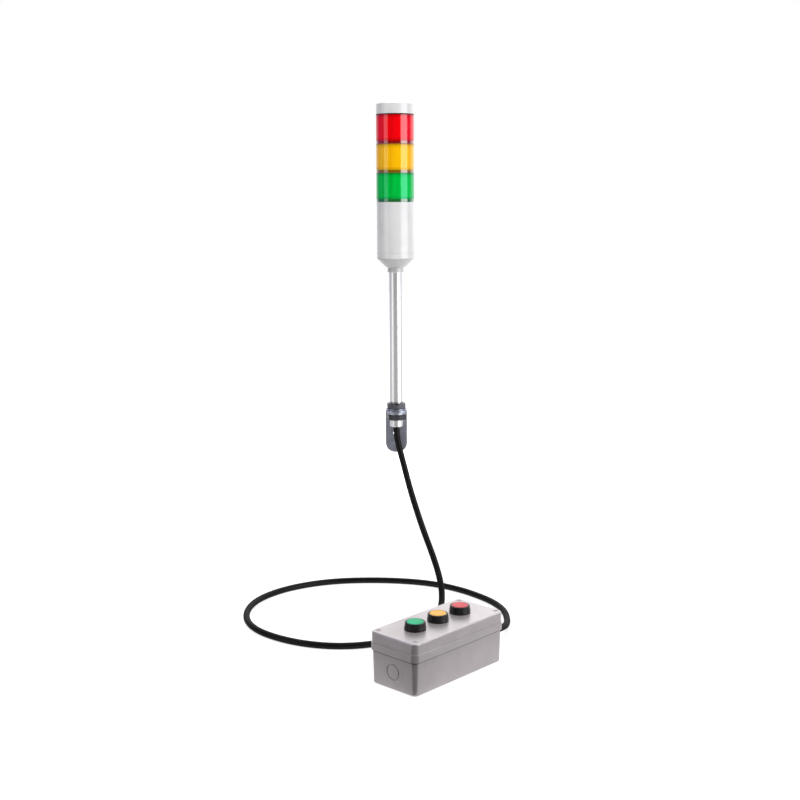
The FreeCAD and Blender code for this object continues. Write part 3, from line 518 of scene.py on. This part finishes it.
seal_rubber = moulded("dark_seal_rubber", (0.020, 0.009, 0.008), (0.030, 0.014, 0.012),
                      rough=0.55, grain_size=0.0006, depth=0.00002, gloss=0.2)

# %% [markdown]
# ## Metals
# The pole is drawn aluminium, with fine lines along it. The bracket is zinc plated, blue-grey and
# mottled, and the nuts are nearly black. Brushed lines could come from an anisotropic gloss, but
# noise stretched fifty times along Z shows the lines themselves, so one recipe does all metals.

# %% Metals
ALONG_THE_POLE = (1, 1, 0.02)
MOTTLING = (0.32, 0.68)
RELIEF_FINER = 4  # times finer than the mottling


def plated(name, dark, light, rough, depth, stretch=(1, 1, 1), scale=180, uneven=0.07):
    """Plated or drawn metal: mottled in colour and roughness; a stretch makes lines of it."""
    material, tree, shader, place = part_material(name)
    shader.inputs["Metallic"].default_value = 1.0
    clouds = grain(tree, place, scale, stretch, detail=5, roughness=0.6)
    link_all(tree, (drift(tree, clouds, dark, light, MOTTLING), shader.inputs["Base Color"]),
             (drift(tree, clouds, rough - uneven, rough + uneven), shader.inputs["Roughness"]))
    relief(tree, shader, grain(tree, place, scale * RELIEF_FINER, stretch, detail=2), depth)
    return material


pole_metal = plated("drawn_aluminium", (0.85, 0.85, 0.86), (0.91, 0.91, 0.92),
                    rough=0.30, depth=0.000002, stretch=ALONG_THE_POLE, scale=500, uneven=0.02)
zinc_plating = plated("bright_zinc", (0.33, 0.35, 0.41), (0.50, 0.52, 0.59),
                      rough=0.30, depth=0.00001)
bracket_plating = plated("blue_grey_zinc", (0.42, 0.44, 0.52), (0.57, 0.60, 0.69),
                         rough=0.38, depth=0.00001)
nut_plating = plated("dark_nut_plating", (0.050, 0.050, 0.057), (0.14, 0.14, 0.155),
                     rough=0.30, depth=0.00002)
spring_wire = plated("spring_wire", (0.45, 0.45, 0.46), (0.6, 0.6, 0.62),
                     rough=0.3, depth=0.00001)

# %% [markdown]
# ## Tinted lenses
# Each tier is a clear moulding in a strong colour, with upright prisms inside and a white sleeve
# behind them. Light could be sent through it, but unlit lenses would show a grey inside, and take
# long to render. So the lens is opaque, and shows its full colour in upright streaks. Its colour
# is darkened under the web at its top, a painted shade where less light gets in, and towards its
# foot too; its shine takes a hint of its colour.

# %% Lens plastic
LENS_COLOURS = {  # the full shade, the deep one, the shine
    "red": ((0.96, 0.000, 0.003), (0.80, 0.000, 0.003), (1.0, 0.80, 0.88)),
    "amber": ((1.00, 0.55, 0.002), (1.00, 0.44, 0.002), (1.0, 0.95, 0.60)),
    "green": ((0.000, 0.58, 0.055), (0.000, 0.44, 0.042), (0.30, 1.0, 0.90)),
}
PRISM_SCALE, PRISM_LINES, PRISM_EDGES = 330, (1, 1, 0.02), (0.38, 0.58)
WAVE_SCALE, WAVES_ROUND, WAVE_DEPTH = 500, (0.03, 0.03, 1), 0.000004
# share of the tier's height, level: painted shade under the web at the crown, and darker towards
# the foot
PAINTED_SHADE_UP = ((0.05, 0.55), (0.20, 1.0), (0.84, 1.0), (0.91, 0.85), (0.96, 0.60), (1.0, 0.35))


def lens_plastic(name, colour, deep, shine, foot, crown):
    """Streaks round the pole's axis, and a painted shade that follows the tier from foot to crown.
    """
    material, tree, shader, place = part_material(name)
    streaks = drift(tree, grain(tree, place, PRISM_SCALE, PRISM_LINES), deep, colour, PRISM_EDGES)
    level = rising(tree, split_xyz(tree, place)["Z"], foot, crown)
    # painted shade: the streaks are darkened near the crown, under the web, and near the foot
    tree.links.new(blend(tree, 1.0, streaks, ramp(tree, level, *PAINTED_SHADE_UP), "MULTIPLY"),
                   shader.inputs["Base Color"])
    relief(tree, shader, grain(tree, place, WAVE_SCALE, WAVES_ROUND, detail=1), WAVE_DEPTH)
    set_values(shader, {"Roughness": 0.09, "IOR": 1.62, "Specular IOR Level": 1.0,
                        "Specular Tint": (*shine, 1)})
    return material


seal_thick = bottom("green_lens") - bottom("lens_seals")
lens_tall = bottom("amber_lens") - bottom("green_lens") - seal_thick
lens_plastics = {}
for colour, shades in LENS_COLOURS.items():
    foot = bottom(colour + "_lens")
    lens_plastics[colour] = lens_plastic(colour + "_lens_plastic", *shades, foot, foot + lens_tall)
print("lens tiers %.1f mm tall" % (lens_tall / MM))

# %% [markdown]
# ## Push-button caps
# The caps are satin plastic and softly speckled. The recipe for mouldings makes them, with two
# shades that lie further apart than on the housings, and a little less gloss.

# %% Button colours
BUTTON_COLOURS = {
    "green": ((0.001, 0.30, 0.125), (0.004, 0.37, 0.17)),
    "amber": ((0.59, 0.31, 0.040), (0.70, 0.38, 0.075)),
    "red": ((0.47, 0.045, 0.060), (0.54, 0.075, 0.090)),
}
button_plastics = {
    colour: moulded(colour + "_button_plastic", *shades,
                    rough=0.42, grain_size=0.0006, depth=0.00003, gloss=0.35)
    for colour, shades in BUTTON_COLOURS.items()}

# %% [markdown]
# ## The cord's sheath
# The sheath is black and slightly sheeny. Any gloss is strong at a low angle, so the recipe for
# mouldings would turn it light grey where it runs away from the eye. It gets no gloss of its own,
# and a thin share of a rough coat instead.

# %% Sheath
SHEATH_CLOUDS, SHEATH_GRAIN = 60, 1400

sheath_material, tree, shader, place = part_material("black_cord_sheath")
clouds = grain(tree, place, SHEATH_CLOUDS)
fine = grain(tree, place, SHEATH_GRAIN, detail=2)
link_all(tree, (drift(tree, clouds, 0.003, 0.006), shader.inputs["Base Color"]),
         (drift(tree, fine, 0.40, 0.50), shader.inputs["Roughness"]))
set_values(shader, {"Specular IOR Level": 0.0, "Coat Weight": 0.17, "Coat IOR": 2.0,
                    "Coat Roughness": 0.38})
relief(tree, shader, fine, 0.00003)

# %% [markdown]
# ## Softened copies
# Sharp edges give a model away: on real mouldings and metal each edge is a little round, and
# catches a line of light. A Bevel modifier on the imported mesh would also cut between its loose
# triangles, so a copy is merged first, its flat triangles are dissolved into whole faces, and only
# the sharp edges are bevelled. Normals weighted by face area keep the flat faces flat to the eye.

# %% A softened copy of a node
MERGE_WITHIN = 0.002 * MM
FLAT_WITHIN = 0.6  # degrees
SHARP_FROM = 32  # degrees
ON_LEVEL = 0.02 * MM
ON_RIM = 0.99  # of the head's radius
CROWN_ROUND = 0.5 * MM

body_of = {node: body for body, nodes in frame["record"]["behaviour"]["bodies"].items()
           for node in nodes}


def from_axis(point):
    """How far a point is from the pole's axis."""
    return math.hypot(point.x - pole_x, point.y - pole_y)


def bevelled(bm, edges, width, segments):
    bmesh.ops.bevel(bm, geom=edges, offset=width, offset_type="OFFSET", segments=segments,
                    profile=0.5, affect="EDGES", clamp_overlap=True, material=-1)


def softened(node, material, width, crown=None, slimmest=0.0):
    """A copy of a node with small bevels; the outer rim round the pole at a crown is rounder.

    Edges of faces narrower than slimmest stay sharp, since a bevel would eat them up."""
    bm = bmesh.new()
    bm.from_mesh(frame["nodes"][node].data)
    bmesh.ops.remove_doubles(bm, verts=bm.verts, dist=MERGE_WITHIN)
    bmesh.ops.dissolve_limit(bm, angle_limit=math.radians(FLAT_WITHIN), verts=bm.verts,
                             edges=bm.edges)
    if crown is not None:
        rim = [e for e in bm.edges if all(
            abs(v.co.z - crown) < ON_LEVEL and from_axis(v.co) > ON_RIM * head_r for v in e.verts)]
        bevelled(bm, rim, CROWN_ROUND, 4)
    sharp = [e for e in bm.edges
             if len(e.link_faces) == 2 and e.calc_face_angle() > math.radians(SHARP_FROM)
             and all(2 * f.calc_area() > slimmest * f.calc_perimeter() for f in e.link_faces)]
    bevelled(bm, sharp, width, 2)
    piece = shaded(as_piece(bm, "soft_" + node, material))
    flat = piece.modifiers.new("flat faces", "WEIGHTED_NORMAL")
    flat.keep_sharp = True
    flat.weight = 100
    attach(piece, body_of[node])
    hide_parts(node)
    print("%s: %d faces" % (piece.name, len(piece.data.polygons)))


print("bodies:", ", ".join(sorted(set(body_of.values()))))

# %% [markdown]
# ## The head's housings
# The body shell, the holder with its cone and the top cap are mouldings, whose edges are the
# softest of all. They could be modelled anew, but their shapes are right already, so they only
# get their edges.

# %% Housings
for node in ("body_shell", "lower_holder", "top_cap"):
    softened(node, white_plastic, 0.4 * MM)

# %% [markdown]
# ## The box, the bracket and the pole
# The base and the lid of the box are mouldings too, with tighter edges. The bracket is bent from
# sheet, and the pole is a drawn tube. Edges as round as the head's would make metal look soft, so
# these are finer.

# %% Box, bracket and pole
for node in ("box_base", "box_lid"):
    softened(node, box_paint, 0.3 * MM)
softened("bracket", bracket_plating, 0.3 * MM)
softened("pole", pole_metal, 0.2 * MM)

# %% [markdown]
# ## Nuts, washers, gland and screws
# Two nuts clamp the bracket's shelf, with a flat and a split washer. The cord enters the box
# through a gland, whose nut has flats for a spanner, and four screws hold the lid. One bevel width
# for all would round off the small ones, so the smaller the piece, the finer its edges.

# %% Nuts, washers, gland and screws
for node in ("upper_nut", "lower_nut"):
    softened(node, nut_plating, 0.25 * MM)
for node in ("flat_washer", "lock_washer"):
    softened(node, zinc_plating, 0.2 * MM)
for node in ("gland_body", "gland_cap_nut", "gland_locknut"):
    softened(node, gland_plastic, 0.25 * MM)
softened("lid_screws", box_paint, 0.15 * MM)

# %% [markdown]
# ## The push-buttons and the lens tiers
# A bezel is a black ring that slopes up from a foot. The foot leaves a ledge of a tenth of a
# millimetre, which a bevel would eat up, so its edges stay sharp. The cap slides inside the
# bezel. A lens tier is rounder at its crown than at its other edges, so that rim gets a bevel of
# its own.

# %% Buttons and lenses
SLIMMEST = 0.2 * MM

for colour in ("green", "amber", "red"):
    softened(colour + "_bezel", bezel_plastic, 0.25 * MM, slimmest=SLIMMEST)
    softened(colour + "_button_cap", button_plastics[colour], 0.2 * MM)
    softened(colour + "_lens", lens_plastics[colour], 0.3 * MM,
             crown=bottom(colour + "_lens") + lens_tall)

# %% [markdown]
# ## The lips of the lenses
# Each tier ends in a thick polished lip that closes over the rubber ring below it, so that the
# ring hardly shows. A second colour on the lens could stand for it, but the lip has an edge of its
# own that catches light. So one profile, drawn as a ring of edges in a plane through the axis, is
# spun once round.

# %% A lip's plastic and its shape
LIP_COLOURS = {"red": (0.30, 0.003, 0.002), "amber": (0.24, 0.12, 0.001),
               "green": (0.002, 0.16, 0.025)}
TURN_STEPS = 128


def lip_plastic(name, colour):
    """The lens's plastic where it is thick and polished: deeper, and with more shine."""
    material, _, shader, _ = part_material(name)
    set_values(shader, {"Base Color": (*colour, 1), "Roughness": 0.10, "IOR": 1.58,
                        "Specular IOR Level": 1.0, "Coat Weight": 1.0, "Coat IOR": 2.1,
                        "Coat Roughness": 0.08})
    return material


def spun(name, profile, material):
    """A closed (radius, level) profile, spun once round the pole's axis."""
    bm = bmesh.new()
    corners = [bm.verts.new((pole_x + r, pole_y, z)) for r, z in profile]
    edges = [bm.edges.new((a, b)) for a, b in zip(corners, corners[1:] + corners[:1])]
    bmesh.ops.spin(bm, geom=corners + edges, cent=(pole_x, pole_y, 0), axis=(0, 0, 1),
                   angle=2 * math.pi, steps=TURN_STEPS, use_merge=True)
    bmesh.ops.recalc_face_normals(bm, faces=bm.faces)
    return shaded(as_piece(bm, name, material))


print("lips in %d colours, %d steps round" % (len(LIP_COLOURS), TURN_STEPS))

# %% [markdown]
# ## One lip under each tier
# The profile has five corners: a thin upright wall whose outer lower corner is cut, so that its
# foot turns in towards the ring. A round corner would take more faces, and at this size nobody
# would see it.

# %% Lips
LIP_OUT = 0.06 * MM
LIP_THICK = 0.22 * MM
LIP_UP = 3.2 * MM
LIP_ROUND = 0.12 * MM
LIP_DOWN = 0.9  # of the seal's thickness

for colour in ("green", "amber", "red"):
    foot = bottom(colour + "_lens")
    low, high = foot - LIP_DOWN * seal_thick, foot + LIP_UP
    outer, inner = head_r + LIP_OUT, head_r + LIP_OUT - LIP_THICK
    profile = [(outer, low + LIP_ROUND), (outer, high), (inner, high), (inner, low),
               (outer - LIP_ROUND, low)]
    lip = spun(colour + "_lens_lip", profile,
               lip_plastic(colour + "_lip_plastic", LIP_COLOURS[colour]))
    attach(lip, body_of[colour + "_lens"])
    print("lip of the %s lens: %d faces" % (colour, len(lip.data.polygons)))

# %% [markdown]
# ## The joint of the box
# A strip in the dark seal rubber finish lies in the groove under the band, as painted shadow: it
# draws the thin dark line all round the box. A curve with a flat profile would do, but its corners
# are hard to fit. So one rounded rectangle is inset, its middle is taken out, and the frame that
# is left is pulled up to its height.

# %% Joint strip
JOINT_LOW, JOINT_HIGH = 44.1 * MM, 45.56 * MM  # above the floor
JOINT_IN = 0.85 * MM  # how far it stands in from the lid's outline
JOINT_THICK = 0.62 * MM
BOX_CORNER = 8.0 * MM
CORNER_STEPS = 8


def box_frame(name, inset, thick, low, high, material):
    """A thin frame round the box, with rounded corners."""
    bm = bmesh.new()
    bmesh.ops.create_grid(bm, x_segments=1, y_segments=1, size=0.5)
    bmesh.ops.scale(bm, verts=bm.verts, vec=(BOX_LENGTH - 2 * inset, BOX_WIDTH - 2 * inset, 1))
    bmesh.ops.bevel(bm, geom=bm.verts[:], offset=BOX_CORNER - inset, offset_type="OFFSET",
                    segments=CORNER_STEPS, profile=0.5, affect="VERTICES", material=-1)
    bmesh.ops.inset_region(bm, faces=bm.faces[:], thickness=thick, use_boundary=True,
                           use_even_offset=True)
    inside = max(bm.faces, key=lambda f: f.calc_area())
    bmesh.ops.delete(bm, geom=[inside], context="FACES_ONLY")
    raised = bmesh.ops.extrude_face_region(bm, geom=bm.faces[:])["geom"]
    bmesh.ops.translate(bm, verts=[v for v in raised if isinstance(v, bmesh.types.BMVert)],
                        vec=(0, 0, high - low))
    bmesh.ops.recalc_face_normals(bm, faces=bm.faces)
    bmesh.ops.rotate(bm, verts=bm.verts, cent=(0, 0, 0),
                     matrix=Matrix.Rotation(box_yaw, 3, "Z"))
    bmesh.ops.translate(bm, verts=bm.verts, vec=box_middle + Vector((0, 0, low)))
    return shaded(as_piece(bm, name, material))


# painted shadow: a dark strip in the groove under the band draws the groove's shade as a thin line
joint = box_frame("box_joint_shadow_strip", JOINT_IN, JOINT_THICK, JOINT_LOW, JOINT_HIGH, seal_rubber)
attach(joint, body_of["box_base"])
print("joint strip: %d faces" % len(joint.data.polygons))

# %% [markdown]
# ## The cord's way
# The cord comes straight out of the pole, goes down and forward to the floor, once round in a wide
# open loop, and up into the box's gland. A simulation would lay it somewhere else, so its points
# are given, and only its ends are read from the pole and the box.

# %% Points of the cord
CORD_D = 9.5  # in millimetres, as the rest of this cell
IN_POLE, UNDER_POLE = 4, 18  # the cord is straight between these two, about the pole's end
HANGING = [(9, -33, -35), (21.5, -52, -82), (39.5, -73, -136), (60, -99, -186),
           (69, -120, -219), (67.5, -146, -241)]
LYING = [(56, -179), (39, -220), (8, -260), (-34, -285), (-82, -293), (-130, -282), (-172, -257),
         (-205, -224), (-224, -182), (-228, -134), (-217, -88), (-188, -46), (-147, -15),
         (-99, 3), (-47, 7.5), (6, 3), (55, -11.5), (96, -39.5), (128, -75), (151, -110),
         (163, -148)]
BOX_HALF = BOX_LENGTH / MM / 2
BEFORE_GLAND, IN_GLAND = 50, 18  # out from the box's end
ENTRY = 24.2  # the gland's middle, above the floor


def in_box(x, z):
    """A point on the box's long axis: x along it from the middle, z above the floor."""
    return box_middle + along * x * MM + Vector((0, 0, z * MM))


lying = floor_z / MM + CORD_D / 2
pole_end = bottom("pole") / MM
axis_y = pole_y / MM
points = [(0, axis_y, pole_end + IN_POLE), (0, axis_y, pole_end - UNDER_POLE)] + HANGING
points += [(x, y, lying) for x, y in LYING]
points += [(163.5, -186, lying + 0.5), (159, -223, lying + 6)]  # rising towards the gland
route = [Vector(p) * MM for p in points]
route += [in_box(BOX_HALF + BEFORE_GLAND, ENTRY), in_box(BOX_HALF + IN_GLAND, ENTRY)]
print("points of the cord:", len(route))

# %% [markdown]
# ## The cord
# One fixed length of round cord on one smooth line. A chain of cylinders would show its joints, so
# it is a curve with a round bevel and closed ends, which stays smooth at every turn.

line = bpy.data.curves.new("cord_line", "CURVE")
line.dimensions = "3D"
line.bevel_depth = CORD_D / 2 * MM
line.bevel_resolution = 7
line.use_fill_caps = True
spline = line.splines.new("NURBS")
spline.points.add(len(route) - 1)
for point, place in zip(spline.points, route):
    point.co = (*place, 1)
spline.order_u = 3
spline.use_endpoint_u = True
spline.resolution_u = 14
line.materials.append(sheath_material)
cord = bpy.data.objects.new("power_cord", line)
bpy.context.collection.objects.link(cord)
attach(cord, "root")
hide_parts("cord")

# %% [markdown]
# ## Nodes that keep their own mesh
# Seals, boards, springs and the other inner pieces hardly show, and already have the right shape.
# A copy would add nothing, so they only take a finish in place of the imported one.

# %% Finishes for the rest
plain_nodes = {
    seal_rubber: ["lens_seals", "cord_grommet", "lid_gasket", "gland_seal", "button_seals"],
    zinc_plating: ["tie_rods", "clamp_plate", "tie_rod_nuts", "pole_grub_screw"],
    board_lacquer: ["control_board"],
    terminal_plastic: ["terminal_block"],
    grey_inner_plastic: ["core_wires", "button_ring_nuts"],
    frosted_plastic: [],
    spring_wire: [],
}
for colour in ("green", "amber", "red"):
    plain_nodes[board_lacquer].append(colour + "_led_board")
    plain_nodes[frosted_plastic].append(colour + "_diffuser")
    plain_nodes[grey_inner_plastic] += [colour + "_plunger", colour + "_contact_block"]
    plain_nodes[spring_wire] += [colour + "_plunger_clip", colour + "_return_spring"]
for material, nodes in plain_nodes.items():
    for node in nodes:
        mesh = frame["nodes"][node].data
        mesh.materials.clear()
        mesh.materials.append(material)
    print("%s: %d nodes" % (material.name, len(nodes)))
